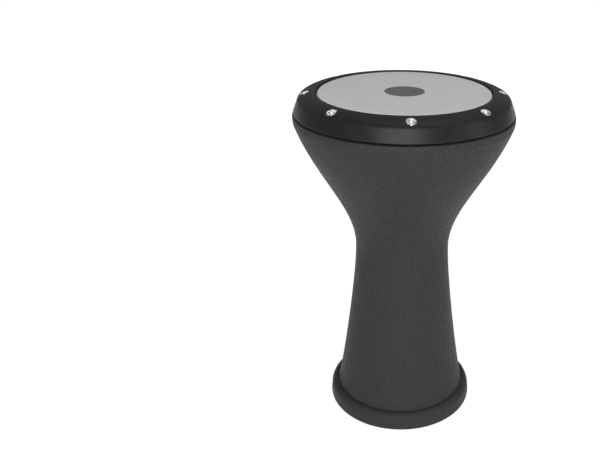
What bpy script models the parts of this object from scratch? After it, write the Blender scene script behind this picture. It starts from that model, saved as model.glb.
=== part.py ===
# Goblet drum with a bolt-down tension ring, standing on its foot.
# Metres, +Z up. The origin is on the floor, in the middle of the foot.
# Eight socket-head bolts draw the tension ring down on the head's hoop,
# which pulls the film tight over the bearing edge of the cast shell.
from math import cos, pi, radians, sin, tan

import bmesh
import bpy

# Driving dimensions of the drum
HEAD_HEIGHT = 0.4380
HEAD_RADIUS = 0.1071
RING_WIDTH = 0.0303
NECK_RADIUS = 0.0612
NECK_HEIGHT = 0.2328
FOOT_RADIUS = 0.0980
FOOT_HEIGHT = 0.0240
SHELL_WALL = 0.0042

# Curves of the shell's outer side
LIP_BAND = 0.0064
LIP_BEND_RADIUS = 0.0120
BOWL_LEAN = radians(19.8)
BOWL_HANDLE = 0.0710
NECK_HANDLE_UP = 0.0559
NECK_HANDLE_DOWN = 0.0490
TUBE_LEAN = radians(20.0)
TUBE_HANDLE = 0.0140
TUBE_END_RADIUS = 0.0872
GROOVE_DEPTH = 0.0010
BEAD_ROUNDING = 0.0095
BEAD_INSET = 0.0010
FOOT_CORNER = 0.0050
FOOT_INNER_RADIUS = 0.0875

# Head
FILM_THICKNESS = 0.0004
EDGE_ROUNDING = 0.0022
SKIRT_STRAIGHT = 0.0082
SKIRT_FLARE = 0.0041
SKIRT_FLARE_DROP = 0.0040
SKIRT_END = 0.0155
FLARE_BEND_OUT = 0.55
FLARE_BEND_DOWN = 0.40
FLARE_UNDER_IN = 0.70
FLARE_UNDER_DOWN = 0.80

# Hoop, a channel that holds the film's edge
HOOP_WIDTH = 0.0052
HOOP_WALL = 0.0010
HOOP_INNER_WALL = 0.0058
HOOP_HEIGHT = 0.0133

# Tension ring
RING_CREST = 0.0008
CREST_ROUNDING = 0.0010
CROWN_START = radians(1.0)
CROWN_END = radians(28.0)
SHOULDER_WIDTH = 0.0107
SHOULDER_RADIUS = 0.0095
FLANK_ANGLE = radians(69.5)
RING_HEIGHT = 0.0238
RING_EDGE_ROUNDING = 0.0009
SKIRT_WALL = 0.0038
RING_SEAT_DEPTH = 0.0062
RING_RIB_DEPTH = 0.0182
SEAM_GAP = 0.0022

# Tension bolts and washers, M6 with a 1 mm pitch
BOLT_COUNT = 8
BOLT_INSET = 0.0151
BOLT_RADIUS = 0.0030
BOLT_LENGTH = 0.0300
BOLT_HEAD_RADIUS = 0.0050
BOLT_HEAD_HEIGHT = 0.0060
BOLT_HEAD_TOP = 0.0040
BOLT_CHAMFER = 0.0005
SOCKET_FLATS = 0.0050
SOCKET_DEPTH = 0.0030
WASHER_RADIUS = 0.0055
WASHER_THICKNESS = 0.0016

# Bearing edge, trough and bolt bosses of the shell
BEARING_WALL = 0.0044
TROUGH_DEPTH = 0.0400
WEB_THICKNESS = 0.0050
LIP_WIDTH = 0.0064
BOSS_WALL = 0.0042
BOSS_TOP = 0.0240

# Clearances
SEAT_GAP = 0.0003
THREAD_GAP = 0.0003
WASHER_GAP = 0.0004
RING_BORE_GAP = 0.0011
HOOP_BORE_GAP = 0.0002
HOOP_POCKET_GAP = 0.0004
CUT_PAST = 0.0030

# Fineness of the round forms
TURN_STEPS = 48
SMALL_STEPS = 12
BOWL_STEPS = 9
TUBE_STEPS = 6
ARC_STEPS = 4
WELD_DISTANCE = 0.000001
SMOOTH_ANGLE = radians(35.0)

# Sizes worked out from the ones above
LIP_RADIUS = HEAD_RADIUS + RING_WIDTH
TROUGH_RADIUS = LIP_RADIUS - LIP_WIDTH
BOLT_CIRCLE = LIP_RADIUS - BOLT_INSET
RING_BORE = HEAD_RADIUS + RING_BORE_GAP
CROWN_WIDTH = RING_WIDTH - RING_BORE_GAP - CREST_ROUNDING - SHOULDER_WIDTH
CROWN_RADIUS = CROWN_WIDTH / (sin(CROWN_END) - sin(CROWN_START))
HOOP_INNER = RING_BORE + HOOP_BORE_GAP
HOOP_OUTER = HOOP_INNER + HOOP_WIDTH
HOOP_TOP = RING_SEAT_DEPTH + SEAT_GAP
FILM_EDGE_ROUNDING = EDGE_ROUNDING + SEAT_GAP + FILM_THICKNESS
HOLE_RADIUS = BOLT_RADIUS + THREAD_GAP
HEAD_SEAT = BOLT_HEAD_TOP + BOLT_HEAD_HEIGHT
WASHER_TOP = HEAD_SEAT + SEAT_GAP
COUNTERBORE_FLOOR = WASHER_TOP + WASHER_THICKNESS + SEAT_GAP
COUNTERBORE_RADIUS = WASHER_RADIUS + WASHER_GAP
BOSS_RADIUS = HOLE_RADIUS + BOSS_WALL
LIP_TOP = RING_HEIGHT + SEAM_GAP


def clear_scene():
    for thing in list(bpy.data.objects):
        bpy.data.objects.remove(thing, do_unlink=True)


def finish(name, colour, roughness, metallic):
    """A plain Principled material in one colour."""
    material = bpy.data.materials.new(name)
    material.use_nodes = True
    shader = material.node_tree.nodes["Principled BSDF"]
    shader.inputs["Base Color"].default_value = (*colour, 1.0)
    shader.inputs["Roughness"].default_value = roughness
    shader.inputs["Metallic"].default_value = metallic
    return material


def below_head(depth):
    """The height of a point that lies this far below the playing face."""
    return HEAD_HEIGHT - depth


def arc(centre, radius, start, end, steps=ARC_STEPS):
    """Points of an arc in the (radius, height) plane, between two angles."""
    turn = [start + (end - start) * i / steps for i in range(steps + 1)]
    return [(centre[0] + radius * cos(a), centre[1] + radius * sin(a)) for a in turn]


def bezier(start, first, second, end, steps):
    """Points and inward normals along a cubic curve that runs downwards."""
    found = []
    for i in range(steps + 1):
        t = i / steps
        s = 1.0 - t
        weights = (s**3, 3 * s * s * t, 3 * s * t * t, t**3)
        slopes = (-3 * s * s, 3 * s * s - 6 * s * t, 6 * s * t - 3 * t * t, 3 * t * t)
        knots = (start, first, second, end)
        r, z = (sum(w * k[axis] for w, k in zip(weights, knots)) for axis in (0, 1))
        dr, dz = (sum(w * k[axis] for w, k in zip(slopes, knots)) for axis in (0, 1))
        length = (dr * dr + dz * dz) ** 0.5
        found.append(((r, z), (dz / length, -dr / length)))
    return found


def add_object(name, mesh, material, parent=None):
    mesh.materials.append(material)
    mesh.shade_smooth()
    mesh.set_sharp_from_angle(angle=SMOOTH_ANGLE)
    thing = bpy.data.objects.new(name, mesh)
    bpy.context.scene.collection.objects.link(thing)
    thing.parent = parent
    return thing


def turned_mesh(name, outline, steps, closed=True):
    """A mesh turned about Z from (radius, height) points. An open outline starts and ends on the axis."""
    shape = bmesh.new()
    points = [shape.verts.new((r, 0.0, z)) for r, z in outline]
    follow = points[1:] + points[:1] if closed else points[1:]
    edges = [shape.edges.new(pair) for pair in zip(points, follow)]
    bmesh.ops.spin(
        shape,
        geom=points + edges,
        cent=(0.0, 0.0, 0.0),
        axis=(0.0, 0.0, 1.0),
        angle=2 * pi,
        steps=steps,
        use_merge=True,
    )
    bmesh.ops.remove_doubles(shape, verts=shape.verts, dist=WELD_DISTANCE)
    bmesh.ops.recalc_face_normals(shape, faces=shape.faces)
    mesh = bpy.data.meshes.new(name)
    shape.to_mesh(mesh)
    shape.free()
    return mesh


def bolt_places():
    """The bolts' places on their circle, the first one at the front."""
    turns = [2 * pi * i / BOLT_COUNT - pi / 2 for i in range(BOLT_COUNT)]
    return [(BOLT_CIRCLE * cos(a), BOLT_CIRCLE * sin(a)) for a in turns]


def repeated_on_bolt_circle(name, outline):
    """A helper object with one turned body at each bolt, for a Boolean."""
    single = turned_mesh(name + "_single", outline, SMALL_STEPS, closed=False)
    together = bmesh.new()
    for x, y in bolt_places():
        before = len(together.verts)
        together.from_mesh(single)
        together.verts.ensure_lookup_table()
        bmesh.ops.translate(together, verts=together.verts[before:], vec=(x, y, 0.0))
    mesh = bpy.data.meshes.new(name)
    together.to_mesh(mesh)
    together.free()
    bpy.data.meshes.remove(single)
    helper = bpy.data.objects.new(name, mesh)
    bpy.context.scene.collection.objects.link(helper)
    helper.hide_render = True
    helper.display_type = "WIRE"
    return helper


def add_boolean(thing, other, operation):
    step = thing.modifiers.new(other.name, "BOOLEAN")
    step.operation = operation
    step.solver = "EXACT"
    step.object = other


def shell_curves():
    """The outer side of the bowl and of the tube, each as points with inward normals."""
    bend_centre = (LIP_RADIUS - LIP_BEND_RADIUS, below_head(LIP_TOP + LIP_BAND))
    bowl_start = (
        bend_centre[0] + LIP_BEND_RADIUS * cos(BOWL_LEAN),
        bend_centre[1] - LIP_BEND_RADIUS * sin(BOWL_LEAN),
    )
    neck = (NECK_RADIUS, NECK_HEIGHT)
    bowl = bezier(
        bowl_start,
        (
            bowl_start[0] - BOWL_HANDLE * sin(BOWL_LEAN),
            bowl_start[1] - BOWL_HANDLE * cos(BOWL_LEAN),
        ),
        (NECK_RADIUS, NECK_HEIGHT + NECK_HANDLE_UP),
        neck,
        BOWL_STEPS,
    )
    tube_end = (TUBE_END_RADIUS, FOOT_HEIGHT + GROOVE_DEPTH)
    tube = bezier(
        neck,
        (NECK_RADIUS, NECK_HEIGHT - NECK_HANDLE_DOWN),
        (
            tube_end[0] - TUBE_HANDLE * sin(TUBE_LEAN),
            tube_end[1] + TUBE_HANDLE * cos(TUBE_LEAN),
        ),
        tube_end,
        TUBE_STEPS,
    )
    return bend_centre, bowl, tube


def lip_outline(bend_centre):
    """The lip under the seam: a short upright band that bends into the bowl."""
    top = below_head(LIP_TOP)
    edge = RING_EDGE_ROUNDING
    rounded = arc((LIP_RADIUS - edge, top - edge), edge, pi / 2, 0.0, 2)
    bend = arc(bend_centre, LIP_BEND_RADIUS, 0.0, -BOWL_LEAN, 3)
    return [(TROUGH_RADIUS, top)] + rounded + bend[:-1]


def foot_outline():
    """The groove, the rounded bead and the flat that the drum stands on."""
    bead_top = (FOOT_RADIUS - BEAD_ROUNDING - BEAD_INSET, FOOT_HEIGHT - BEAD_ROUNDING)
    groove = (TUBE_END_RADIUS - GROOVE_DEPTH, FOOT_HEIGHT)
    bead = arc(bead_top, BEAD_ROUNDING, radians(78.0), 0.0)
    corner = arc((FOOT_RADIUS - FOOT_CORNER, FOOT_CORNER), FOOT_CORNER, 0.0, -pi / 2, 3)
    return [groove] + bead + corner + [(FOOT_INNER_RADIUS, 0.0)]


def inner_outline(bowl, tube):
    """The inner side from the foot up to the underside of the web."""
    offset = [(p[0] + SHELL_WALL * n[0], p[1] + SHELL_WALL * n[1]) for p, n in bowl + tube[1:]]
    web_low = below_head(TROUGH_DEPTH + WEB_THICKNESS)
    below = [p for p in offset if p[1] < web_low]
    above = offset[len(offset) - len(below) - 1]
    share = (web_low - below[0][1]) / (above[1] - below[0][1])
    corner = (below[0][0] + share * (above[0] - below[0][0]), web_low)
    return list(reversed([corner] + below))


def bearing_outline():
    """The wall that the film rolls over, and the trough outside it."""
    outer = HEAD_RADIUS - FILM_THICKNESS - SEAT_GAP
    crest = (outer - EDGE_ROUNDING, below_head(FILM_THICKNESS + SEAT_GAP + EDGE_ROUNDING))
    inner = outer - BEARING_WALL
    floor = below_head(TROUGH_DEPTH)
    return (
        [(inner, below_head(TROUGH_DEPTH + WEB_THICKNESS))]
        + arc(crest, EDGE_ROUNDING, pi, 0.0)
        + [(outer, floor), (TROUGH_RADIUS, floor)]
    )


def make_shell(material):
    """One casting: bearing edge, trough with eight bosses, bowl, neck, tube and foot."""
    bend_centre, bowl, tube = shell_curves()
    outline = lip_outline(bend_centre)
    outline += [p for p, _ in bowl] + [p for p, _ in tube[1:]]
    outline += foot_outline() + inner_outline(bowl, tube) + bearing_outline()
    shell = add_object("shell", turned_mesh("shell", outline, TURN_STEPS), material)
    web_middle = below_head(TROUGH_DEPTH + WEB_THICKNESS / 2)
    boss_top = below_head(BOSS_TOP)
    bosses = repeated_on_bolt_circle(
        "boss_bodies",
        [(0.0, boss_top), (BOSS_RADIUS, boss_top), (BOSS_RADIUS, web_middle), (0.0, web_middle)],
    )
    hole_low = below_head(TROUGH_DEPTH + WEB_THICKNESS + CUT_PAST)
    hole_top = below_head(BOSS_TOP - CUT_PAST)
    holes = repeated_on_bolt_circle(
        "tapped_hole_cutters",
        [(0.0, hole_top), (HOLE_RADIUS, hole_top), (HOLE_RADIUS, hole_low), (0.0, hole_low)],
    )
    add_boolean(shell, bosses, "UNION")
    add_boolean(shell, holes, "DIFFERENCE")
    return shell


def make_film(material, parent):
    """The playing film: flat, rolled over the bearing edge, with its edge down in the hoop."""
    roll_centre = (HEAD_RADIUS - FILM_EDGE_ROUNDING, below_head(FILM_EDGE_ROUNDING))
    thick = FILM_THICKNESS
    slot_middle = HOOP_INNER + HOOP_WIDTH / 2
    flare_middle = (
        HEAD_RADIUS + SKIRT_FLARE * FLARE_BEND_OUT,
        below_head(SKIRT_STRAIGHT + SKIRT_FLARE_DROP * FLARE_BEND_DOWN),
    )
    flare_low = below_head(SKIRT_STRAIGHT + SKIRT_FLARE_DROP)
    top_side = [(0.0, HEAD_HEIGHT)] + arc(roll_centre, FILM_EDGE_ROUNDING, pi / 2, 0.0)
    top_side += [
        (HEAD_RADIUS, below_head(SKIRT_STRAIGHT)),
        flare_middle,
        (slot_middle + thick / 2, flare_low),
        (slot_middle + thick / 2, below_head(SKIRT_END)),
    ]
    under_side = [
        (slot_middle - thick / 2, below_head(SKIRT_END)),
        (slot_middle - thick / 2, flare_low - thick / 3),
        (flare_middle[0] - thick * FLARE_UNDER_IN, flare_middle[1] - thick * FLARE_UNDER_DOWN),
        (HEAD_RADIUS - thick, below_head(SKIRT_STRAIGHT) - thick / 2),
    ]
    under_side += arc(roll_centre, FILM_EDGE_ROUNDING - thick, 0.0, pi / 2)
    under_side += [(0.0, HEAD_HEIGHT - thick)]
    mesh = turned_mesh("drumhead_film", top_side + under_side, TURN_STEPS, closed=False)
    return add_object("drumhead_film", mesh, material, parent)


def make_hoop(material, parent):
    """The metal channel round the film's edge. Its tall outer wall carries the ring."""
    top = below_head(HOOP_TOP)
    low = top - HOOP_HEIGHT
    inner_top = low + HOOP_INNER_WALL
    outline = [
        (HOOP_OUTER, top),
        (HOOP_OUTER, low),
        (HOOP_INNER, low),
        (HOOP_INNER, inner_top),
        (HOOP_INNER + HOOP_WALL, inner_top),
        (HOOP_INNER + HOOP_WALL, low + HOOP_WALL),
        (HOOP_OUTER - HOOP_WALL, low + HOOP_WALL),
        (HOOP_OUTER - HOOP_WALL, top),
    ]
    mesh = turned_mesh("drumhead_hoop", outline, TURN_STEPS)
    return add_object("drumhead_hoop", mesh, material, parent)


def tangent_centre(point, radius, slope):
    """The centre of an arc that leaves this point with this downward slope."""
    return (point[0] - radius * sin(slope), point[1] - radius * cos(slope))


def ring_outline():
    """The tension ring: crowned top, round shoulder, straight flank, and a pocket for the hoop."""
    top_start = (RING_BORE + CREST_ROUNDING, below_head(-RING_CREST))
    bore_top = (RING_BORE, top_start[1] - CREST_ROUNDING)
    centre = tangent_centre(top_start, CROWN_RADIUS, CROWN_START)
    crown = arc(centre, CROWN_RADIUS, pi / 2 - CROWN_START, pi / 2 - CROWN_END)
    centre = tangent_centre(crown[-1], SHOULDER_RADIUS, CROWN_END)
    shoulder = arc(centre, SHOULDER_RADIUS, pi / 2 - CROWN_END, pi / 2 - FLANK_ANGLE)
    low = below_head(RING_HEIGHT)
    edge = RING_EDGE_ROUNDING
    flank_low = shoulder[-1][0] + (shoulder[-1][1] - low - edge) / tan(FLANK_ANGLE)
    bottom_outer = arc((flank_low - edge, low + edge), edge, radians(25.0), -pi / 2, 3)
    skirt_inner = flank_low - SKIRT_WALL
    rib_low = below_head(RING_RIB_DEPTH)
    rib_outer = skirt_inner - (rib_low - low) / tan(FLANK_ANGLE)
    pocket = HOOP_OUTER + HOOP_POCKET_GAP
    seat = below_head(RING_SEAT_DEPTH)
    return (
        [bore_top]
        + crown
        + shoulder[1:]
        + bottom_outer
        + [(skirt_inner, low), (rib_outer, rib_low), (pocket, rib_low), (pocket, seat), (RING_BORE, seat)]
    )


def make_ring(material, parent):
    """The tension ring with its eight counterbored bolt holes."""
    mesh = turned_mesh("tension_ring", ring_outline(), TURN_STEPS)
    ring = add_object("tension_ring", mesh, material, parent)
    above = below_head(-RING_CREST - CUT_PAST)
    floor = below_head(COUNTERBORE_FLOOR)
    under = below_head(RING_RIB_DEPTH + CUT_PAST)
    cutters = repeated_on_bolt_circle(
        "counterbore_cutters",
        [
            (0.0, above),
            (COUNTERBORE_RADIUS, above),
            (COUNTERBORE_RADIUS, floor),
            (HOLE_RADIUS, floor),
            (HOLE_RADIUS, under),
            (0.0, under),
        ],
    )
    add_boolean(ring, cutters, "DIFFERENCE")
    return ring


def bolt_mesh():
    """A socket-head bolt about its own axis, with the underside of its head at zero."""
    top = BOLT_HEAD_HEIGHT
    body = turned_mesh(
        "bolt_body",
        [
            (0.0, top),
            (BOLT_HEAD_RADIUS - BOLT_CHAMFER, top),
            (BOLT_HEAD_RADIUS, top - BOLT_CHAMFER),
            (BOLT_HEAD_RADIUS, 0.0),
            (BOLT_RADIUS, 0.0),
            (BOLT_RADIUS, -BOLT_LENGTH + BOLT_CHAMFER),
            (BOLT_RADIUS - BOLT_CHAMFER, -BOLT_LENGTH),
            (0.0, -BOLT_LENGTH),
        ],
        SMALL_STEPS,
        closed=False,
    )
    corner = SOCKET_FLATS / 2 / cos(pi / 6)
    floor = top - SOCKET_DEPTH
    hexagon = turned_mesh(
        "socket_body",
        [(0.0, top + SOCKET_DEPTH), (corner, top + SOCKET_DEPTH), (corner, floor), (0.0, floor)],
        6,
        closed=False,
    )
    blank = bpy.data.objects.new("bolt_blank", body)
    cutter = bpy.data.objects.new("socket_cutter", hexagon)
    for thing in (blank, cutter):
        bpy.context.scene.collection.objects.link(thing)
    add_boolean(blank, cutter, "DIFFERENCE")
    bpy.context.view_layer.update()
    seen = blank.evaluated_get(bpy.context.evaluated_depsgraph_get())
    mesh = bpy.data.meshes.new_from_object(seen)
    mesh.name = "tension_bolt"
    for thing in (blank, cutter):
        bpy.data.objects.remove(thing, do_unlink=True)
    return mesh


def washer_mesh():
    return turned_mesh(
        "washer",
        [
            (WASHER_RADIUS, 0.0),
            (WASHER_RADIUS, -WASHER_THICKNESS),
            (HOLE_RADIUS, -WASHER_THICKNESS),
            (HOLE_RADIUS, 0.0),
        ],
        SMALL_STEPS,
    )


def add_fasteners(bright, parent):
    """Eight bolts, each about its own axis, and the washers under their heads."""
    bolt, washer = bolt_mesh(), washer_mesh()
    for number, (x, y) in enumerate(bolt_places(), start=1):
        for name, mesh, depth in (("tension_bolt", bolt, HEAD_SEAT), ("washer", washer, WASHER_TOP)):
            thing = bpy.data.objects.new(f"{name}_{number}", mesh)
            thing.location = (x, y, below_head(depth))
            thing.parent = parent
            bpy.context.scene.collection.objects.link(thing)
    for mesh in (bolt, washer):
        mesh.materials.clear()
        mesh.materials.append(bright)
        mesh.shade_smooth()
        mesh.set_sharp_from_angle(angle=SMOOTH_ANGLE)


def build_drum():
    clear_scene()
    coat = finish("shell_coat", (0.022, 0.021, 0.021), 0.62, 0.0)
    black = finish("ring_black", (0.018, 0.018, 0.019), 0.42, 0.0)
    silver = finish("film_silver", (0.42, 0.42, 0.43), 0.50, 0.0)
    alloy = finish("hoop_alloy", (0.60, 0.60, 0.61), 0.35, 1.0)
    bright = finish("bolt_bright", (0.80, 0.79, 0.76), 0.18, 1.0)
    shell = make_shell(coat)
    make_film(silver, shell)
    ring = make_ring(black, shell)
    make_hoop(alloy, ring)
    add_fasteners(bright, ring)


build_drum()
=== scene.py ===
# %% [markdown]
# # Goblet drum
#
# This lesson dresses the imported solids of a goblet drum. The drum has a shell cast in one piece with
# a flared foot, a grey plastic head, and a black ring that eight bolts draw down over the head's hoop.
# The solids stay the fixed frame. Each cell makes one piece or one finish, and says why it is made so.

# %% Load the frame
from math import cos, pi, radians, sin, sqrt, tan

import bmesh
import bpy
from mathutils import Euler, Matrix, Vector


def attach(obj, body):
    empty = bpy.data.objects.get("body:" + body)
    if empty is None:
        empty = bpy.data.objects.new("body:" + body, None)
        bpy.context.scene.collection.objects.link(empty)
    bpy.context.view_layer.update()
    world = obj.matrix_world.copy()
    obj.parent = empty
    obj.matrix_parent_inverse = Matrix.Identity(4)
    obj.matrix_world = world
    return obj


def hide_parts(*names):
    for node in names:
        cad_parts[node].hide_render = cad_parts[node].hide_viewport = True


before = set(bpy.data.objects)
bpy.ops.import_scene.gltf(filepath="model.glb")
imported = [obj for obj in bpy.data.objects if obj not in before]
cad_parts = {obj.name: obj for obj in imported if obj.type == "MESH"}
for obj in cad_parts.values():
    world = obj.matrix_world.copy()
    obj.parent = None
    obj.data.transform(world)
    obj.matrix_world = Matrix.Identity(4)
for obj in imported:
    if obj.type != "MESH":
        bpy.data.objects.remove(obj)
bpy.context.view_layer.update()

# %% [markdown]
# ## The drum's measures
#
# The heights are taken from the playing face downwards, as a drum maker does, because the ring, the
# hoop and the bolts all hang from that face. Everything is in metres.

# %% Measures
HEAD_HEIGHT = 0.4380
HEAD_RADIUS = 0.1071
RING_WIDTH = 0.0303
RING_HEIGHT = 0.0238
SEAM_GAP = 0.0022
NECK = (0.0612, 0.2328)
FOOT_RADIUS = 0.0980
FOOT_HEIGHT = 0.0240
BOLT_COUNT = 8
BOLT_INSET = 0.0151
THREAD_RADIUS = 0.0030
FILM_THICKNESS = 0.0004
SEAT_GAP = 0.0003
HOLE_GAP = 0.0003
BORE_GAP = 0.0011
HOOP_GAP = 0.0002
HOOP_WIDTH = 0.0052
STEPS = 192

# Sizes worked out from the ones above
LIP_RADIUS = HEAD_RADIUS + RING_WIDTH
BOLT_CIRCLE = LIP_RADIUS - BOLT_INSET
HOLE_RADIUS = THREAD_RADIUS + HOLE_GAP
RING_BORE = HEAD_RADIUS + BORE_GAP
HOOP_INNER = RING_BORE + HOOP_GAP
HOOP_OUTER = HOOP_INNER + HOOP_WIDTH


def below_head(depth):
    """The height of a point this far below the playing face."""
    return HEAD_HEIGHT - depth


def distance(x, y):
    """How far a point lies from the origin of its plane."""
    return sqrt(x * x + y * y)


def arc(centre, radius, start, end, steps):
    """Points of an arc in the (radius, height) plane."""
    turns = [start + (end - start) * i / steps for i in range(steps + 1)]
    return [(centre[0] + radius * cos(a), centre[1] + radius * sin(a)) for a in turns]


def curve(knots, steps):
    """Points and inward normals along a cubic curve that runs downwards."""
    found = []
    for i in range(steps + 1):
        t = i / steps
        s = 1.0 - t
        weights = (s**3, 3 * s * s * t, 3 * s * t * t, t**3)
        slopes = (-3 * s * s, 3 * s * s - 6 * s * t, 6 * s * t - 3 * t * t, 3 * t * t)
        r, z = (sum(w * k[axis] for w, k in zip(weights, knots)) for axis in (0, 1))
        dr, dz = (sum(w * k[axis] for w, k in zip(slopes, knots)) for axis in (0, 1))
        length = distance(dr, dz)
        found.append(((r, z), (dz / length, -dr / length)))
    return found


def bolt_places():
    """The bolts' places on their circle, the first one at the front."""
    turns = [2 * pi * i / BOLT_COUNT - pi / 2 for i in range(BOLT_COUNT)]
    return [(BOLT_CIRCLE * cos(a), BOLT_CIRCLE * sin(a)) for a in turns]


print("bolt 1 stands at", bolt_places()[0])

# %% [markdown]
# ## A lathe in mesh code
#
# Nearly every piece of this drum was turned or cast round, so one helper spins an outline about
# the axis. A spin in bmesh was chosen over the Screw modifier, because the result is a plain mesh
# that can then be cut and given materials.

# %% Lathe helpers
WELD = 0.000001


def link(name, mesh, *materials):
    for material in materials:
        mesh.materials.append(material)
    thing = bpy.data.objects.new(name, mesh)
    bpy.context.scene.collection.objects.link(thing)
    return thing


def lathe(name, outline, steps=STEPS, closed=True):
    """A mesh turned about Z. An open outline starts and ends on the axis."""
    shape = bmesh.new()
    points = [shape.verts.new((r, 0.0, z)) for r, z in outline]
    follow = points[1:] + points[:1] if closed else points[1:]
    edges = [shape.edges.new(pair) for pair in zip(points, follow)]
    bmesh.ops.spin(
        shape,
        geom=points + edges,
        cent=(0.0, 0.0, 0.0),
        axis=(0.0, 0.0, 1.0),
        angle=2 * pi,
        steps=steps,
        use_merge=True,
    )
    bmesh.ops.remove_doubles(shape, verts=shape.verts, dist=WELD)
    bmesh.ops.recalc_face_normals(shape, faces=shape.faces)
    mesh = bpy.data.meshes.new(name)
    shape.to_mesh(mesh)
    shape.free()
    return mesh


def copied_to(mesh, places, name):
    """One mesh that holds a copy of another at each place."""
    together = bmesh.new()
    for x, y in places:
        before = len(together.verts)
        together.from_mesh(mesh)
        together.verts.ensure_lookup_table()
        bmesh.ops.translate(together, verts=together.verts[before:], vec=(x, y, 0.0))
    result = bpy.data.meshes.new(name)
    together.to_mesh(result)
    together.free()
    return result


def cut(thing, helper_mesh, operation="DIFFERENCE"):
    """Joins or cuts a helper body at once. The new faces take the helper's material, if it has one."""
    if not helper_mesh.materials:
        helper_mesh.materials.append(thing.data.materials[0])
    helper = link(helper_mesh.name, helper_mesh)
    step = thing.modifiers.new("step", "BOOLEAN")
    step.operation = operation
    step.solver = "EXACT"
    step.material_mode = "TRANSFER"
    step.object = helper
    bpy.context.view_layer.update()
    seen = thing.evaluated_get(bpy.context.evaluated_depsgraph_get())
    mesh = bpy.data.meshes.new_from_object(seen)
    mesh.name = thing.data.name
    thing.modifiers.clear()
    thing.data = mesh
    bpy.data.objects.remove(helper, do_unlink=True)


def smooth(mesh, angle=32.0):
    """Smooth shading, with sharp edges where the mesh turns by more than this many degrees."""
    mesh.shade_smooth()
    mesh.set_sharp_from_angle(angle=radians(angle))


def seat(thing, body, node):
    """Fastens a piece to its body and lets it stand for the plain solid."""
    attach(thing, body)
    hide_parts(node)
    print(f"{thing.name}: {len(thing.data.polygons)} faces, rides on {body}")


# %% [markdown]
# ## Effects that several finishes share
#
# Grain, smudges and tool marks occur on more than one material. Each is a node group, built once,
# with named inputs, so a finish only states its own numbers. The groups give back heights and
# masks alone, and the shader stays in each material.

# %% Node helpers
def new_group(name, inputs, outputs):
    """A node group with these inputs and their values, and these outputs."""
    tree = bpy.data.node_groups.new(name, "ShaderNodeTree")
    for label, value in inputs.items():
        socket = tree.interface.new_socket(label, in_out="INPUT", socket_type="NodeSocketFloat")
        socket.default_value = value
    for label in outputs:
        tree.interface.new_socket(label, in_out="OUTPUT", socket_type="NodeSocketFloat")
    return tree, tree.nodes.new("NodeGroupInput"), tree.nodes.new("NodeGroupOutput")


def calculate(tree, operation, first, second=0.5, third=None):
    """One operation on numbers or sockets."""
    node = tree.nodes.new("ShaderNodeMath")
    node.operation = operation
    for index, value in enumerate((first, second, third)):
        if value is None:
            continue
        if isinstance(value, (int, float)):
            node.inputs[index].default_value = value
        else:
            tree.links.new(value, node.inputs[index])
    return node.outputs[0]


def remap(tree, value, low, high, to_low=0.0, to_high=1.0):
    """Moves a value softly from one range to another."""
    node = tree.nodes.new("ShaderNodeMapRange")
    node.interpolation_type = "SMOOTHSTEP"
    tree.links.new(value, node.inputs["Value"])
    for label, number in (("From Min", low), ("From Max", high), ("To Min", to_low), ("To Max", to_high)):
        node.inputs[label].default_value = number
    return node.outputs["Result"]


def place_in(tree, stretch=(1.0, 1.0, 1.0)):
    """Coordinates that are fixed to the piece, in metres."""
    coordinates = tree.nodes.new("ShaderNodeTexCoord")
    mapping = tree.nodes.new("ShaderNodeMapping")
    mapping.inputs["Scale"].default_value = stretch
    tree.links.new(coordinates.outputs["Object"], mapping.inputs["Vector"])
    return mapping.outputs["Vector"]


def noise(tree, place, scale, detail=2.0, roughness=0.5, distortion=0.0):
    """Cloudy values round 0.5."""
    node = tree.nodes.new("ShaderNodeTexNoise")
    tree.links.new(place, node.inputs["Vector"])
    if isinstance(scale, (int, float)):
        node.inputs["Scale"].default_value = scale
    else:
        tree.links.new(scale, node.inputs["Scale"])
    node.inputs["Detail"].default_value = detail
    node.inputs["Roughness"].default_value = roughness
    node.inputs["Distortion"].default_value = distortion
    return node.outputs["Fac"]


# %% [markdown]
# ### The four shared effects
#
# Each effect starts from coordinates that are fixed to its piece, so it moves with the piece. The
# bend of the grain and the wobble of the tool rings keep both from looking like a printed pattern.

# %% Shared effects
GRAIN_BEND = 0.0022
RING_WOBBLE = 0.0002


def build_coat_grain():
    """Wrinkles of a baked coat: soft cells, longer up the drum than round it."""
    tree, given, out = new_group("coat_grain", {"Scale": 420.0, "Fine": 0.3}, ("Height", "ShadedValley"))
    place = place_in(tree, (1.0, 1.0, 0.62))
    bend = noise(tree, place, calculate(tree, "MULTIPLY", given.outputs["Scale"], 0.55), 2.0)
    shifted = tree.nodes.new("ShaderNodeVectorMath")
    shifted.operation = "MULTIPLY_ADD"
    tree.links.new(bend, shifted.inputs[0])
    shifted.inputs[1].default_value = (GRAIN_BEND, GRAIN_BEND, GRAIN_BEND)
    tree.links.new(place, shifted.inputs[2])
    cells = tree.nodes.new("ShaderNodeTexVoronoi")
    cells.feature = "SMOOTH_F1"
    cells.inputs["Smoothness"].default_value = 0.6
    tree.links.new(given.outputs["Scale"], cells.inputs["Scale"])
    tree.links.new(shifted.outputs[0], cells.inputs["Vector"])
    mounds = remap(tree, cells.outputs["Distance"], 0.10, 0.75, 1.0, 0.0)
    fine = noise(tree, place, calculate(tree, "MULTIPLY", given.outputs["Scale"], 3.0), 3.0, 0.6)
    height = calculate(tree, "MULTIPLY_ADD", fine, given.outputs["Fine"], mounds)
    tree.links.new(height, out.inputs["Height"])
    # The valley mask, which the shell coat uses both for painted shade and for duller roughness.
    tree.links.new(calculate(tree, "SUBTRACT", 1.0, mounds), out.inputs["ShadedValley"])
    return tree


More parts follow.
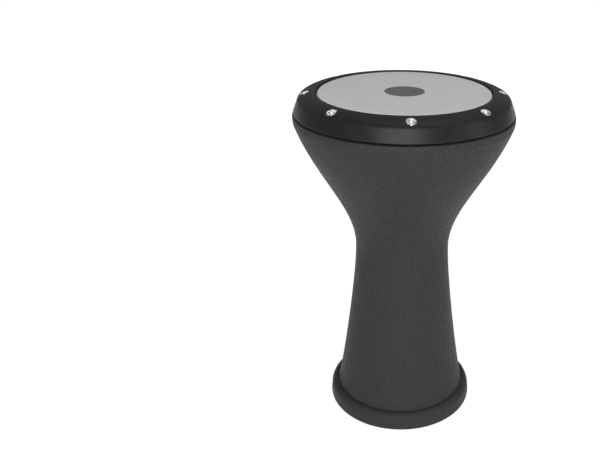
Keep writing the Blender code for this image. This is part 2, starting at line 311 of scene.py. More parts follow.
def build_smudge():
    """Where hands and cloths have left the surface a little duller."""
    tree, given, out = new_group("handling_smudge", {"Scale": 18.0, "Amount": 0.5}, ("Mask",))
    place = place_in(tree)
    broad = noise(tree, place, given.outputs["Scale"], 4.0, 0.62, 0.6)
    mask = remap(tree, broad, 0.42, 0.68)
    tree.links.new(calculate(tree, "MULTIPLY", mask, given.outputs["Amount"]), out.inputs["Mask"])
    return tree


def build_edge_wear():
    """Light on raised edges, from how sharply the mesh turns there."""
    tree, given, out = new_group("edge_wear", {"Start": 0.53, "Amount": 0.5}, ("Mask",))
    shape = tree.nodes.new("ShaderNodeNewGeometry")
    above = calculate(tree, "SUBTRACT", shape.outputs["Pointiness"], given.outputs["Start"])
    raised = remap(tree, above, 0.0, 0.05)
    broken = remap(tree, noise(tree, place_in(tree), 300.0, 3.0, 0.6), 0.35, 0.62)
    worn = calculate(tree, "MULTIPLY", raised, broken)
    tree.links.new(calculate(tree, "MULTIPLY", worn, given.outputs["Amount"]), out.inputs["Mask"])
    return tree


def build_tool_marks():
    """The fine rings that a cutter leaves, one above the other along the piece's own axis."""
    tree, given, out = new_group("tool_marks", {"Spacing": 0.00025}, ("Height", "Streak"))
    place = place_in(tree)
    parts = tree.nodes.new("ShaderNodeSeparateXYZ")
    tree.links.new(place, parts.inputs[0])
    wobble = noise(tree, place, 60.0, 2.0)
    raised = calculate(tree, "MULTIPLY_ADD", wobble, RING_WOBBLE, parts.outputs["Z"])
    turn = calculate(tree, "DIVIDE", raised, given.outputs["Spacing"])
    wave = calculate(tree, "SINE", calculate(tree, "MULTIPLY", turn, 2 * pi))
    tree.links.new(wave, out.inputs["Height"])
    streak = noise(tree, place_in(tree, (1.0, 1.0, 14.0)), 220.0, 3.0, 0.6)
    tree.links.new(remap(tree, streak, 0.4, 0.65), out.inputs["Streak"])
    return tree


COAT_GRAIN = build_coat_grain()
SMUDGE = build_smudge()
EDGE_WEAR = build_edge_wear()
TOOL_MARKS = build_tool_marks()
print("shared groups:", [tree.name for tree in bpy.data.node_groups])

# %% [markdown]
# ## Finishes
#
# A finish is a Principled shader whose colour, roughness and normal come from the groups above.
# The colours are the real ones in plain light, apart from the painted shade in the shell coat's
# valleys, so the lamps can stay at a plain level.

# %% Finish helpers
def new_finish(name, roughness, metallic=0.0, **sockets):
    """A Principled material. Other sockets are given by name, with _ for each space."""
    material = bpy.data.materials.new(name)
    material.use_nodes = True
    shader = material.node_tree.nodes["Principled BSDF"]
    shader.inputs["Roughness"].default_value = roughness
    shader.inputs["Metallic"].default_value = metallic
    for label, value in sockets.items():
        shader.inputs[label.replace("_", " ")].default_value = value
    return material, material.node_tree, shader


def effect(tree, group, **values):
    """Places a shared group in a material, with this material's own values."""
    node = tree.nodes.new("ShaderNodeGroup")
    node.node_tree = group
    for label, value in values.items():
        node.inputs[label].default_value = value
    return node.outputs


def blend_colour(tree, mask, plain, marked):
    """The first colour where the mask is 0, and the second where it is 1."""
    node = tree.nodes.new("ShaderNodeMix")
    node.data_type = "RGBA"
    tree.links.new(mask, node.inputs["Factor"])
    for socket, colour in ((node.inputs[6], plain), (node.inputs[7], marked)):
        if isinstance(colour, tuple):
            socket.default_value = (*colour, 1.0)
        else:
            tree.links.new(colour, socket)
    return node.outputs[2]


def bump(tree, shader, height, depth, strength=1.0):
    """Tilts the shader's normal by a height that is this deep, in metres."""
    node = tree.nodes.new("ShaderNodeBump")
    node.inputs["Distance"].default_value = depth
    node.inputs["Strength"].default_value = strength
    tree.links.new(height, node.inputs["Height"])
    tree.links.new(node.outputs["Normal"], shader.inputs["Normal"])


# %% [markdown]
# ### Wrinkled coat of the shell
#
# The casting is baked with a charcoal powder coat that draws into fine wrinkles, longer upwards
# than round the drum. Bump carries them, since each is only a tenth of a millimetre high. The
# valleys are a little duller than the crests, and their colour is painted darker as painted shade
# in the creases.

# %% Shell finish
def wrinkled_coat():
    """The shell's coat: charcoal wrinkles, a little dust, and lighter raised edges."""
    material, tree, shader = new_finish("wrinkled_charcoal", 0.5, Specular_IOR_Level=0.12)
    grain = effect(tree, COAT_GRAIN, Scale=620.0, Fine=0.30)
    smudge = effect(tree, SMUDGE, Scale=14.0, Amount=0.6)
    wear = effect(tree, EDGE_WEAR, Start=0.54, Amount=0.35)
    # Painted shade: the wrinkle valleys take a darker base colour, as shade in the creases would give.
    body = blend_colour(tree, grain["ShadedValley"], (0.045, 0.0435, 0.042), (0.031, 0.030, 0.029))
    dusty = blend_colour(tree, smudge["Mask"], body, (0.038, 0.037, 0.0355))
    worn = blend_colour(tree, wear["Mask"], dusty, (0.075, 0.074, 0.072))
    tree.links.new(worn, shader.inputs["Base Color"])
    rough = calculate(tree, "MULTIPLY_ADD", grain["ShadedValley"], 0.18, 0.44)
    tree.links.new(calculate(tree, "MULTIPLY_ADD", smudge["Mask"], 0.10, rough), shader.inputs["Roughness"])
    bump(tree, shader, grain["Height"], 0.00011, 0.7)
    return material


def satin_black():
    """The ring's smooth coat: nearly black, with a faint orange peel."""
    material, tree, shader = new_finish("satin_black", 0.40, Specular_IOR_Level=0.18)
    grain = effect(tree, COAT_GRAIN, Scale=900.0, Fine=0.2)
    smudge = effect(tree, SMUDGE, Scale=26.0, Amount=0.8)
    wear = effect(tree, EDGE_WEAR, Start=0.55, Amount=0.4)
    body = blend_colour(tree, smudge["Mask"], (0.0130, 0.0128, 0.0125), (0.0160, 0.0156, 0.0152))
    worn = blend_colour(tree, wear["Mask"], body, (0.20, 0.195, 0.19))
    tree.links.new(worn, shader.inputs["Base Color"])
    tree.links.new(calculate(tree, "MULTIPLY_ADD", smudge["Mask"], 0.10, 0.37), shader.inputs["Roughness"])
    bump(tree, shader, grain["Height"], 0.00002, 0.6)
    return material


COAT = wrinkled_coat()
BLACK = satin_black()

# %% [markdown]
# ### Bare and plated metal
#
# The counterbores were machined after the ring was coated, so their walls are bare and show fine
# tool rings. The bolts and washers are plated, and the hoop is plain rolled aluminium.

# %% Metal finishes
def metal(name, colour, darker, roughness, spacing, height, smudge_scale):
    """Bare or plated metal with fine tool rings, darker streaks and smudges."""
    material, tree, shader = new_finish(name, roughness, metallic=1.0)
    marks = effect(tree, TOOL_MARKS, Spacing=spacing)
    smudge = effect(tree, SMUDGE, Scale=smudge_scale, Amount=0.7)
    streaked = blend_colour(tree, marks["Streak"], colour, darker)
    tree.links.new(blend_colour(tree, smudge["Mask"], streaked, darker), shader.inputs["Base Color"])
    rough = calculate(tree, "MULTIPLY_ADD", marks["Streak"], 0.08, roughness)
    tree.links.new(calculate(tree, "MULTIPLY_ADD", smudge["Mask"], 0.12, rough), shader.inputs["Roughness"])
    bump(tree, shader, marks["Height"], height, 0.5)
    return material


MACHINED = metal(
    "machined_aluminium",
    colour=(0.86, 0.86, 0.85),
    darker=(0.70, 0.70, 0.69),
    roughness=0.24,
    spacing=0.00040,
    height=0.000006,
    smudge_scale=120.0,
)
PLATED = metal(
    "bright_plate",
    colour=(0.82, 0.81, 0.78),
    darker=(0.64, 0.63, 0.60),
    roughness=0.16,
    spacing=0.00030,
    height=0.000003,
    smudge_scale=160.0,
)
ROLLED = metal(
    "rolled_aluminium",
    colour=(0.72, 0.72, 0.73),
    darker=(0.58, 0.58, 0.59),
    roughness=0.32,
    spacing=0.00055,
    height=0.000006,
    smudge_scale=60.0,
)

# %% [markdown]
# ### The head's film
#
# The head is a grey plastic film with a plain dark disc in the middle. The disc is print, not a
# second layer, so it is a mask from the distance to the axis. A faint mottle and a few smudges, where
# the hand plays, keep the film from looking like paint.

# %% Film finish
DISC_RADIUS = 0.0250
DISC_EDGE = 0.0003


def film_finish():
    """Grey film with a printed disc, slightly glossier than the film around it."""
    material, tree, shader = new_finish("grey_film", 0.42, Specular_IOR_Level=0.45)
    place = place_in(tree)
    parts = tree.nodes.new("ShaderNodeSeparateXYZ")
    tree.links.new(place, parts.inputs[0])
    across = calculate(tree, "MULTIPLY", parts.outputs["X"], parts.outputs["X"])
    along = calculate(tree, "MULTIPLY", parts.outputs["Y"], parts.outputs["Y"])
    radius = calculate(tree, "SQRT", calculate(tree, "ADD", across, along))
    disc = remap(tree, radius, DISC_RADIUS - DISC_EDGE, DISC_RADIUS, 1.0, 0.0)
    mottle = remap(tree, noise(tree, place, 900.0, 4.0, 0.65), 0.3, 0.7)
    smudge = effect(tree, SMUDGE, Scale=22.0, Amount=0.8)
    plain = blend_colour(tree, mottle, (0.625, 0.625, 0.637), (0.645, 0.645, 0.657))
    handled = blend_colour(tree, smudge["Mask"], plain, (0.610, 0.608, 0.615))
    tree.links.new(blend_colour(tree, disc, handled, (0.105, 0.105, 0.110)), shader.inputs["Base Color"])
    rough = calculate(tree, "MULTIPLY_ADD", smudge["Mask"], 0.12, 0.40)
    tree.links.new(calculate(tree, "MULTIPLY_ADD", disc, -0.06, rough), shader.inputs["Roughness"])
    bump(tree, shader, noise(tree, place, 1400.0, 3.0, 0.6), 0.00003, 0.5)
    return material


FILM = film_finish()
print("finishes:", [m.name for m in (COAT, BLACK, MACHINED, PLATED, ROLLED, FILM)])

# %% [markdown]
# ## The shell
#
# The real shell is one casting, turned where the head bears on it. Two cubic curves give the
# bowl and the tube, and the foot is a rounded bead under a fine groove. The trough with its eight
# tapped bosses is hidden under the ring, but it is there when the ring lifts.

# %% Shell sizes
LIP_WIDTH = 0.0064
LIP_BAND = 0.0064
LIP_BEND = 0.0120
LIP_EDGE = 0.0009
BOWL_LEAN, BOWL_HANDLE = radians(19.8), 0.0710
NECK_HANDLE_UP, NECK_HANDLE_DOWN = 0.0559, 0.0490
TUBE_LEAN, TUBE_HANDLE = radians(20.0), 0.0140
GROOVE = 0.0010
TUBE_END = (0.0872, FOOT_HEIGHT + GROOVE)
BEAD_ROUNDING, BEAD_INSET = 0.0095, 0.0010
FOOT_CORNER = 0.0050
FOOT_INNER, FOOT_INNER_EDGE = 0.0875, 0.0009
SHELL_WALL = 0.0042
TROUGH_DEPTH, WEB = 0.0400, 0.0050
BEARING_WALL, BEARING_ROUNDING = 0.0044, 0.0022
BOSS_RADIUS, BOSS_EDGE, BOSS_TOP = 0.0075, 0.0007, 0.0240
CUT_PAST = 0.0030
SMALL_STEPS = 32

LIP_TOP = below_head(RING_HEIGHT + SEAM_GAP)
TROUGH_RADIUS = LIP_RADIUS - LIP_WIDTH

# %% [markdown]
# ### The shell's outline
#
# The outline is written in parts, in the order in which a finger would follow the casting: over the
# lip, down the skin, round the foot, up the inside and over the bearing edge. The inner side is the
# skin moved inwards by the wall, so the wall is even.

# %% Shell outline
def skin_curves():
    """The bowl below the bent lip and the tube down to the groove, with their inward normals."""
    bend_centre = (LIP_RADIUS - LIP_BEND, LIP_TOP - LIP_BAND)
    lean_out, lean_down = sin(BOWL_LEAN), cos(BOWL_LEAN)
    start = (bend_centre[0] + LIP_BEND * lean_down, bend_centre[1] - LIP_BEND * lean_out)
    bowl_knots = (
        start,
        (start[0] - BOWL_HANDLE * lean_out, start[1] - BOWL_HANDLE * lean_down),
        (NECK[0], NECK[1] + NECK_HANDLE_UP),
        NECK,
    )
    tube_knots = (
        NECK,
        (NECK[0], NECK[1] - NECK_HANDLE_DOWN),
        (TUBE_END[0] - TUBE_HANDLE * sin(TUBE_LEAN), TUBE_END[1] + TUBE_HANDLE * cos(TUBE_LEAN)),
        TUBE_END,
    )
    return bend_centre, curve(bowl_knots, 44) + curve(tube_knots, 36)[1:]


def lip_outline(bend_centre):
    """The top of the lip, its small edge and the bend into the bowl."""
    edge_centre = (LIP_RADIUS - LIP_EDGE, LIP_TOP - LIP_EDGE)
    edge = arc(edge_centre, LIP_EDGE, pi / 2, 0.0, 5)
    bend = arc(bend_centre, LIP_BEND, 0.0, -BOWL_LEAN, 10)
    return [(TROUGH_RADIUS, LIP_TOP)] + edge + bend[:-1]


def foot_outline():
    """The groove, the rounded bead, its lower corner and the flat that the drum stands on."""
    bead_centre = (FOOT_RADIUS - BEAD_ROUNDING - BEAD_INSET, FOOT_HEIGHT - BEAD_ROUNDING)
    groove = arc((TUBE_END[0], FOOT_HEIGHT), GROOVE, radians(150.0), radians(210.0), 4)
    bead = arc(bead_centre, BEAD_ROUNDING, radians(82.0), 0.0, 14)
    corner = arc((FOOT_RADIUS - FOOT_CORNER, FOOT_CORNER), FOOT_CORNER, 0.0, -pi / 2, 8)
    flat_end = [(FOOT_INNER + FOOT_INNER_EDGE, 0.0), (FOOT_INNER, FOOT_INNER_EDGE)]
    return groove + bead + corner + flat_end


def inside_outline(skin):
    """The inner side, from the foot up to the underside of the web."""
    web_low = below_head(TROUGH_DEPTH + WEB)
    inside = [(p[0] + SHELL_WALL * n[0], p[1] + SHELL_WALL * n[1]) for p, n in skin]
    lower = [p for p in inside if p[1] < web_low]
    above = inside[-len(lower) - 1]
    share = (web_low - lower[0][1]) / (above[1] - lower[0][1])
    corner = (lower[0][0] + share * (above[0] - lower[0][0]), web_low)
    return list(reversed([corner] + lower))


def bearing_outline():
    """The wall that the film rolls over, and the trough outside it."""
    outer = HEAD_RADIUS - FILM_THICKNESS - SEAT_GAP
    crest = (outer - BEARING_ROUNDING, below_head(FILM_THICKNESS + SEAT_GAP + BEARING_ROUNDING))
    floor = below_head(TROUGH_DEPTH)
    start = [(outer - BEARING_WALL, below_head(TROUGH_DEPTH + WEB))]
    return start + arc(crest, BEARING_ROUNDING, pi, 0.0, 12) + [(outer, floor), (TROUGH_RADIUS, floor)]


def shell_outline():
    bend_centre, skin = skin_curves()
    outside = lip_outline(bend_centre) + [p for p, _ in skin] + foot_outline()
    return outside + inside_outline(skin) + bearing_outline()


# %% [markdown]
# ### Bosses and tapped holes
#
# The bosses are joined to the web before the holes are cut, so each hole goes through both. The
# cutter carries the machined finish, which gives the holes bare walls in the coated casting.

# %% Shell
def boss_body():
    top, middle = below_head(BOSS_TOP), below_head(TROUGH_DEPTH + WEB / 2)
    outline = [
        (0.0, top),
        (BOSS_RADIUS - BOSS_EDGE, top),
        (BOSS_RADIUS, top - BOSS_EDGE),
        (BOSS_RADIUS, middle),
        (0.0, middle),
    ]
    return lathe("boss", outline, SMALL_STEPS, closed=False)


def hole_body():
    top = below_head(BOSS_TOP - CUT_PAST)
    low = below_head(TROUGH_DEPTH + WEB + CUT_PAST)
    outline = [(0.0, top), (HOLE_RADIUS, top), (HOLE_RADIUS, low), (0.0, low)]
    body = lathe("hole", outline, SMALL_STEPS, closed=False)
    body.materials.append(MACHINED)
    return body


def make_shell():
    shell = link("cast_shell", lathe("cast_shell", shell_outline()), COAT)
    cut(shell, copied_to(boss_body(), bolt_places(), "bosses"), "UNION")
    cut(shell, copied_to(hole_body(), bolt_places(), "holes"))
    smooth(shell.data)
    return shell


seat(make_shell(), "shell", "shell")

# %% [markdown]
# ## The head
#
# The film is flat, rolls over the bearing edge and runs down into its hoop. Its thickness is real
# here, because the thin bright line where it rolls over is what makes a head look tight. The
# hoop is a rolled channel, hidden under the ring at rest and seen when the ring lifts.

# %% Film and hoop
FILM_ROLL = BEARING_ROUNDING + SEAT_GAP + FILM_THICKNESS
FLAT_ROWS = (0.030, 0.080)
FLARE_OUT = (0.0, 0.0009, 0.0022)
FLARE_DEPTH = (0.0082, 0.0087, 0.0096)
FLARE_END = 0.0122
SKIRT_END = 0.0155
UNDER_SHARE = 0.35
RING_SEAT = 0.0062
HOOP_TOP = RING_SEAT + SEAT_GAP
HOOP_HEIGHT = 0.0133
HOOP_WALL = 0.0010
HOOP_INNER_WALL = 0.0058
HOOP_EDGE = 0.0003
HOOP_BEND = 0.0008


def make_film():
    """The film's upper side from the middle outwards, and back along its under side."""
    thick = FILM_THICKNESS
    centre = (HEAD_RADIUS - FILM_ROLL, below_head(FILM_ROLL))
    slot = (HOOP_INNER + HOOP_OUTER) / 2
    flare = [(HEAD_RADIUS + out, below_head(deep)) for out, deep in zip(FLARE_OUT, FLARE_DEPTH)]
    flare += [(slot - thick / 2, below_head(FLARE_END))]
    upper = [(r, HEAD_HEIGHT) for r in (0.0, *FLAT_ROWS)]
    upper += arc(centre, FILM_ROLL, pi / 2, 0.0, 14) + flare + [(slot, below_head(SKIRT_END))]
    under = [(slot - thick, below_head(SKIRT_END))]
    under += [(r - thick, z - thick * UNDER_SHARE) for r, z in reversed(flare)]
    under += arc(centre, FILM_ROLL - thick, 0.0, pi / 2, 10) + [(0.0, HEAD_HEIGHT - thick)]
    film = link("head_film", lathe("head_film", upper + under, closed=False), FILM)
    smooth(film.data, 40.0)
    return film


def make_hoop():
    """A rolled channel: a tall outer wall, a short inner wall and rounded lower bends."""
    top = below_head(HOOP_TOP)
    low = top - HOOP_HEIGHT
    inner_top = low + HOOP_INNER_WALL
    outline = arc((HOOP_OUTER - HOOP_EDGE, top - HOOP_EDGE), HOOP_EDGE, pi / 2, 0.0, 3)
    outline += arc((HOOP_OUTER - HOOP_BEND, low + HOOP_BEND), HOOP_BEND, 0.0, -pi / 2, 5)
    outline += arc((HOOP_INNER + HOOP_BEND, low + HOOP_BEND), HOOP_BEND, -pi / 2, -pi, 5)
    outline += [
        (HOOP_INNER, inner_top - HOOP_EDGE),
        (HOOP_INNER + HOOP_EDGE, inner_top),
        (HOOP_INNER + HOOP_WALL, inner_top),
        (HOOP_INNER + HOOP_WALL, low + HOOP_WALL),
        (HOOP_OUTER - HOOP_WALL, low + HOOP_WALL),
        (HOOP_OUTER - HOOP_WALL, top),
    ]
    hoop = link("head_hoop", lathe("head_hoop", outline), ROLLED)
    smooth(hoop.data)
    return hoop


seat(make_film(), "shell", "drumhead_film")
seat(make_hoop(), "tension_ring", "drumhead_hoop")

# %% [markdown]
# ## The tension ring
#
# This piece takes the most skill. Its top is a crown that falls away outwards, turns over a round
# shoulder and ends in a straight flank, and every bolt sinks into a counterbore that breaks through
# crown and shoulder at once. A cutter whose rim follows the ring's own height leaves an even bright
# chamfer there, which a bevel on the cut mesh can't do.

# %% Ring outline
RING_CREST, CREST_ROUNDING = 0.0008, 0.0010
CROWN_START, CROWN_END, FLANK = radians(1.0), radians(28.0), radians(69.5)
SHOULDER_WIDTH, SHOULDER = 0.0107, 0.0095
RING_EDGE = 0.0009
SKIRT_WALL = 0.0038
RIB_DEPTH = 0.0182
POCKET_GAP = 0.0004

POCKET = HOOP_OUTER + POCKET_GAP
CROWN_WIDTH = LIP_RADIUS - RING_BORE - CREST_ROUNDING - SHOULDER_WIDTH
CROWN = CROWN_WIDTH / (sin(CROWN_END) - sin(CROWN_START))


def tangent_centre(point, radius, slope):
    """The centre of an arc that leaves this point with this downward slope."""
    return (point[0] - radius * sin(slope), point[1] - radius * cos(slope))


top_start = (RING_BORE + CREST_ROUNDING, below_head(-RING_CREST))
crown_centre = tangent_centre(top_start, CROWN, CROWN_START)
crown_end = (crown_centre[0] + CROWN * sin(CROWN_END), crown_centre[1] + CROWN * cos(CROWN_END))
shoulder_centre = tangent_centre(crown_end, SHOULDER, CROWN_END)


def ring_height(radius):
    """The height of the ring's upper side at a distance from the axis."""
    on_crown = radius <= crown_end[0]
    centre, size = (crown_centre, CROWN) if on_crown else (shoulder_centre, SHOULDER)
    across = radius - centre[0]
    return centre[1] + sqrt(size * size - across * across)


def ring_outline():
    """From the bore over crest, crown, shoulder and flank, and back along the hoop's pocket."""
    crest_centre = (top_start[0], top_start[1] - CREST_ROUNDING)
    crest = arc(crest_centre, CREST_ROUNDING, pi, pi / 2 + 0.1, 6)
    crown = arc(crown_centre, CROWN, pi / 2 - CROWN_START, pi / 2 - CROWN_END, 20)
    shoulder = arc(shoulder_centre, SHOULDER, pi / 2 - CROWN_END, pi / 2 - FLANK, 16)
    low = below_head(RING_HEIGHT)
    flank_low = shoulder[-1][0] + (shoulder[-1][1] - low - RING_EDGE) / tan(FLANK)
    edge_centre = (flank_low - RING_EDGE, low + RING_EDGE)
    bottom = arc(edge_centre, RING_EDGE, radians(20.0), -pi / 2, 6)
    skirt = flank_low - SKIRT_WALL
    rib_low = below_head(RIB_DEPTH)
    rib_outer = skirt - (rib_low - low) / tan(FLANK)
    seat_height = below_head(RING_SEAT)
    inner = [(skirt, low), (rib_outer, rib_low), (POCKET, rib_low), (POCKET, seat_height)]
    return crest + crown + shoulder[1:] + bottom + inner + [(RING_BORE, seat_height)]


# %% [markdown]
# ### Counterbores
#
# Each cutter is a stepped peg. Its rows of points go round the bolt's axis, and the rows at the rim
# take their height from the ring's own curve, so the cone between them cuts an even chamfer.

# %% Counterbores
BOLT_TOP, BOLT_HEAD_HEIGHT = 0.0040, 0.0060
HEAD_SEAT = BOLT_TOP + BOLT_HEAD_HEIGHT
WASHER_RADIUS, WASHER_THICKNESS = 0.0055, 0.0016
WASHER_TOP = HEAD_SEAT + SEAT_GAP
WASHER_ROOM = 0.0004
COUNTERBORE = WASHER_RADIUS + WASHER_ROOM
COUNTERBORE_FLOOR = WASHER_TOP + WASHER_THICKNESS + SEAT_GAP
CHAMFER = 0.00035
CUTTER_LOW, CUTTER_TOP = 0.0300, -0.0060
CUTTER_STEPS = 64
RING_STEPS = 256


def peg_levels(x, y, step_x, step_y):
    """Radius and height of the peg's six rows, in one direction from a bolt's axis."""
    wide = COUNTERBORE + 2 * CHAMFER
    at_bore = ring_height(distance(x + COUNTERBORE * step_x, y + COUNTERBORE * step_y))
    at_wide = ring_height(distance(x + wide * step_x, y + wide * step_y))
    return (
        (HOLE_RADIUS, below_head(CUTTER_LOW)),
        (HOLE_RADIUS, below_head(COUNTERBORE_FLOOR)),
        (COUNTERBORE, below_head(COUNTERBORE_FLOOR)),
        (COUNTERBORE, at_bore - CHAMFER),
        (wide, at_wide + CHAMFER),
        (wide, below_head(CUTTER_TOP)),
    )


def add_peg(shape, x, y):
    """Builds one cutter with its rows of points joined into walls and two caps."""
    rows = [[] for _ in range(6)]
    for i in range(CUTTER_STEPS):
        step_x, step_y = cos(2 * pi * i / CUTTER_STEPS), sin(2 * pi * i / CUTTER_STEPS)
        for row, (r, z) in zip(rows, peg_levels(x, y, step_x, step_y)):
            row.append(shape.verts.new((x + r * step_x, y + r * step_y, z)))
    for lower, upper in zip(rows, rows[1:]):
        for i in range(CUTTER_STEPS):
            j = (i + 1) % CUTTER_STEPS
            shape.faces.new((lower[i], lower[j], upper[j], upper[i]))
    shape.faces.new(list(reversed(rows[0])))
    shape.faces.new(rows[-1])


def mesh_from(shape, name):
    """Closes a bmesh into a mesh with its normals outwards."""
    bmesh.ops.recalc_face_normals(shape, faces=shape.faces)
    mesh = bpy.data.meshes.new(name)
    shape.to_mesh(mesh)
    shape.free()
    return mesh


def counterbore_cutter():
    shape = bmesh.new()
    for x, y in bolt_places():
        add_peg(shape, x, y)
    mesh = mesh_from(shape, "counterbore_cutter")
    mesh.materials.append(MACHINED)
    return mesh


def make_ring():
    ring = link("black_ring", lathe("black_ring", ring_outline(), RING_STEPS), BLACK)
    cut(ring, counterbore_cutter())
    smooth(ring.data, 28.0)
    return ring


seat(make_ring(), "tension_ring", "tension_ring")

# %% [markdown]
# ## Bolts and washers
#
# The bolts are M6 with a 5 mm socket. A real one has a chamfered, knurled head and a rolled thread,
# so the lathe leaves enough rows on the shank for its points to follow a helix, and thin wedges cut
# the knurl into the head. All eight bolts share one mesh.

# %% Bolt
PITCH = 0.0010
THREAD_DEPTH = 0.00055
BOLT_STEPS = 72
THREAD_ROWS = 224
THREAD_START, THREAD_LOW, THREAD_END = -0.0004, -0.0294, -0.0300
CUT_THREAD_TOP, CUT_THREAD_LOW = -0.0030, -0.0292
BOLT_HEAD_RADIUS = 0.0050
BOLT_HEAD_CHAMFER = (0.0006, 0.0005)
SOCKET_FLATS, SOCKET_FLOOR, DRILL_POINT = 0.0050, 0.0030, (0.0016, 0.0026)
KNURLS, KNURL_DEPTH, KNURL_HALF_ANGLE = 36, 0.00016, 0.045
KNURL_LOW, KNURL_TOP = 0.0009, 0.0052


def bolt_blank():
    """The turned bolt, with the underside of its head at zero, and its thread moved in."""
    radius, top = BOLT_HEAD_RADIUS, BOLT_HEAD_HEIGHT
    rows = [
        (0.0, top),
        (radius - BOLT_HEAD_CHAMFER[0], top),
        (radius, top - BOLT_HEAD_CHAMFER[1]),
        (radius, 0.0008),
        (radius - 0.0001, 0.0),
        (THREAD_RADIUS, 0.0),
    ]
    length = THREAD_START - THREAD_LOW
    rows += [(THREAD_RADIUS, THREAD_START - length * i / THREAD_ROWS) for i in range(THREAD_ROWS + 1)]
    rows += [(THREAD_RADIUS - 0.0006, THREAD_END), (0.0, THREAD_END)]
    mesh = lathe("tension_bolt", rows, BOLT_STEPS, closed=False)
    for vertex in mesh.vertices:
        x, y, z = vertex.co
        from_axis = distance(x, y)
        on_shank = abs(from_axis - THREAD_RADIUS) < 0.0001
        if on_shank and CUT_THREAD_LOW < z < CUT_THREAD_TOP:
            angle = Vector((1.0, 0.0)).angle_signed(Vector((x, y)), 0.0)
            phase = (z / PITCH + angle / (2 * pi)) % 1.0
            depth = THREAD_DEPTH * abs(2 * phase - 1.0)
            share = 1 - depth / from_axis
            vertex.co = (x * share, y * share, z)
    print("bolt blank:", len(mesh.vertices), "points")
    return mesh


def knurl_cutter():
    """Thin wedges round the head, one for each groove of the knurl."""
    shape = bmesh.new()
    tip, back = BOLT_HEAD_RADIUS - KNURL_DEPTH, BOLT_HEAD_RADIUS + 0.0004
    for i in range(KNURLS):
        a = 2 * pi * i / KNURLS
        points = [(tip, a), (back, a - KNURL_HALF_ANGLE), (back, a + KNURL_HALF_ANGLE)]
        low = [shape.verts.new((r * cos(b), r * sin(b), KNURL_LOW)) for r, b in points]
        high = [shape.verts.new((r * cos(b), r * sin(b), KNURL_TOP)) for r, b in points]
        shape.faces.new(list(reversed(low)))
        shape.faces.new(high)
        for k in range(3):
            m = (k + 1) % 3
            shape.faces.new((low[k], low[m], high[m], high[k]))
    return mesh_from(shape, "knurl_cutter")


def socket_cutter():
    """A hexagon with the drill's flat point at its floor."""
    corner = SOCKET_FLATS / 2 / cos(pi / 6)
    above = BOLT_HEAD_HEIGHT + 0.0020
    outline = [(0.0, above), (corner, above), (corner, SOCKET_FLOOR), DRILL_POINT, (0.0, DRILL_POINT[1])]
    return lathe("socket", outline, 6, closed=False)


def funnel_cutter():
    """The chamfer at the socket's mouth."""
    corner = SOCKET_FLATS / 2 / cos(pi / 6)
    above, below = BOLT_HEAD_HEIGHT + 0.0010, BOLT_HEAD_HEIGHT - 0.0006
    outline = [(0.0, above), (corner + 0.0012, above), (corner - 0.0004, below), (0.0, below)]
    return lathe("funnel", outline, 48, closed=False)


def make_bolt_mesh():
    bolt = link("bolt_blank", bolt_blank(), PLATED)
    for cutter in (socket_cutter(), funnel_cutter(), knurl_cutter()):
        cut(bolt, cutter)
    smooth(bolt.data, 30.0)
    mesh = bolt.data
    mesh.name = "tension_bolt"
    bpy.data.objects.remove(bolt, do_unlink=True)
    return mesh


def make_washer_mesh():
    """A flat washer with its top at zero and small chamfers on all four edges."""
    edge, low = 0.00025, -WASHER_THICKNESS
    outer, inner = WASHER_RADIUS, HOLE_RADIUS
    outline = [(outer - edge, 0.0), (outer, -edge), (outer, low + edge), (outer - edge, low)]
    outline += [(inner + edge, low), (inner, low + edge), (inner, -edge), (inner + edge, 0.0)]
    mesh = lathe("flat_washer", outline, 64)
    mesh.materials.append(PLATED)
    smooth(mesh, 30.0)
    return mesh


# %% [markdown]
# ### Placing them
#
# A bolt's origin lies on its own axis, because the bolt turns as the ring travels. The washers only
# ride on the ring.

# %% Place the bolts and washers
bolt_shape = make_bolt_mesh()
washer_shape = make_washer_mesh()
for number, (x, y) in enumerate(bolt_places(), start=1):
    bolt = link(f"socket_bolt_{number}", bolt_shape)
    bolt.location = (x, y, below_head(HEAD_SEAT))
    seat(bolt, f"tension_bolt_{number}", f"tension_bolt_{number}")
    washer = link(f"flat_washer_{number}", washer_shape)
    washer.location = (x, y, below_head(WASHER_TOP))
    seat(washer, "tension_ring", f"washer_{number}")

# %% [markdown]
# ## Floor, light and camera
#
# A pale floor keeps the drum's soft shadow. Its extra brightness reaches only the camera and
# mirror-like reflections, and grows with the distance from the drum, so the ground reads as white
# without more light on the drum, and its near part still shows the shadow.

# %% Stage
FLOOR_RADIUS = 4.0
FLOOR_NEAR, FLOOR_FAR = (0.35, 0.62), (1.6, 0.88)


def stage_finish():
    """A pale floor whose extra brightness is given as (distance, strength) near and far."""
    material, tree, shader = new_finish("pale_floor", 0.9)
    place = place_in(tree)
    grain = remap(tree, noise(tree, place, 40.0, 3.0), 0.3, 0.7)
    pale = blend_colour(tree, grain, (0.80, 0.80, 0.80), (0.83, 0.83, 0.83))
    tree.links.new(pale, shader.inputs["Base Color"])
    path = tree.nodes.new("ShaderNodeLightPath")
    seen = calculate(tree, "MAXIMUM", path.outputs["Is Camera Ray"], path.outputs["Is Glossy Ray"])
    away = tree.nodes.new("ShaderNodeVectorMath")
    away.operation = "LENGTH"
    tree.links.new(place, away.inputs[0])
    distances, strengths = zip(FLOOR_NEAR, FLOOR_FAR)
    lift = remap(tree, away.outputs["Value"], *distances, *strengths)
    glow = tree.nodes.new("ShaderNodeEmission")
    tree.links.new(calculate(tree, "MULTIPLY", seen, lift), glow.inputs["Strength"])
    both = tree.nodes.new("ShaderNodeAddShader")
    tree.links.new(shader.outputs[0], both.inputs[0])
    tree.links.new(glow.outputs[0], both.inputs[1])
    tree.links.new(both.outputs[0], tree.nodes["Material Output"].inputs["Surface"])
    return material


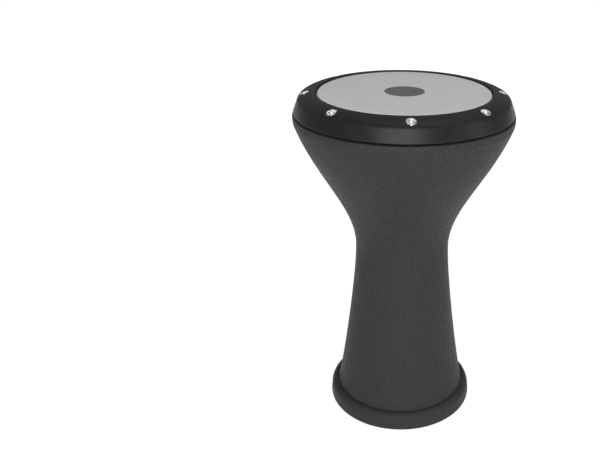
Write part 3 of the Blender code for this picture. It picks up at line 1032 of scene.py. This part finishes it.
def make_floor():
    shape = bmesh.new()
    bmesh.ops.create_circle(shape, cap_ends=True, segments=96, radius=FLOOR_RADIUS)
    mesh = bpy.data.meshes.new("floor")
    shape.to_mesh(mesh)
    shape.free()
    floor = link("floor", mesh, stage_finish())


make_floor()

# %% [markdown]
# ### World and lamps
#
# The world is white to the camera and dim to everything else, so a broad lamp near the camera does
# most of the work. It lights upright surfaces and leaves the top of the black ring dark. Two weak
# lamps, one above and one from the right, open the shade.

# %% World and lamps
WORLD_LIGHT = 0.28
AIM = (0.0, 0.0, 0.28)


def light_the_world():
    world = bpy.data.worlds.new("studio")
    bpy.context.scene.world = world
    world.use_nodes = True
    tree = world.node_tree
    ground = tree.nodes["Background"]
    ground.inputs["Color"].default_value = (1.0, 1.0, 1.0, 1.0)
    path = tree.nodes.new("ShaderNodeLightPath")
    seen = path.outputs["Is Camera Ray"]
    strength = calculate(tree, "MULTIPLY_ADD", seen, 1.0 - WORLD_LIGHT, WORLD_LIGHT)
    tree.links.new(strength, ground.inputs["Strength"])


def add_lamp(name, place, aim, size, power):
    lamp = bpy.data.lights.new(name, "AREA")
    lamp.shape = "RECTANGLE"
    lamp.size, lamp.size_y = size
    lamp.energy = power
    thing = bpy.data.objects.new(name, lamp)
    bpy.context.scene.collection.objects.link(thing)
    thing.location = place
    thing.rotation_euler = (Vector(aim) - Vector(place)).to_track_quat("-Z", "Y").to_euler()
    print(f"{name}: {power} W")


light_the_world()
add_lamp("front_softbox", (-0.25, -2.1, 1.15), AIM, size=(1.6, 1.3), power=42.0)
add_lamp("top_softbox", (0.3, 0.1, 2.1), (0.0, 0.0, 0.3), size=(1.4, 1.4), power=6.0)
add_lamp("right_softbox", (1.8, -0.6, 0.9), (0.0, 0.0, 0.25), size=(0.7, 1.2), power=6.0)

# %% [markdown]
# ### Camera
#
# The camera was solved from three round edges of the drum: the playing face, the seam and the foot.
# It stands close, so the foot looks smaller than its real size.

# %% Camera
CAMERA_PLACE = (-0.0579, -0.9109, 0.6698)
CAMERA_LENS, SENSOR = 45.58, 36.0
CAMERA_SHIFT = (-0.1707, 0.0004)
HEADING, LOOK_DOWN, ROLL = radians(-3.64), radians(24.254), radians(0.95)


def turned(x=0.0, y=0.0, z=0.0):
    return Euler((x, y, z)).to_matrix()


def add_camera():
    """The photograph's own view, with the drum right of the middle."""
    lens = bpy.data.cameras.new("view")
    lens.lens = CAMERA_LENS
    lens.sensor_width = SENSOR
    lens.shift_x, lens.shift_y = CAMERA_SHIFT
    camera = bpy.data.objects.new("view", lens)
    bpy.context.scene.collection.objects.link(camera)
    camera.location = CAMERA_PLACE
    aimed = turned(z=HEADING) @ turned(x=pi / 2 - LOOK_DOWN) @ turned(z=ROLL)
    camera.rotation_euler = aimed.to_euler()
    bpy.context.scene.camera = camera


add_camera()
bpy.context.scene.view_settings.view_transform = "Standard"

# %% [markdown]
# ## Finish
#
# The dressed drum has to stay inside the box of its solids. The last cell only brings the scene up
# to date.

# %% Finish
bpy.context.view_layer.update()
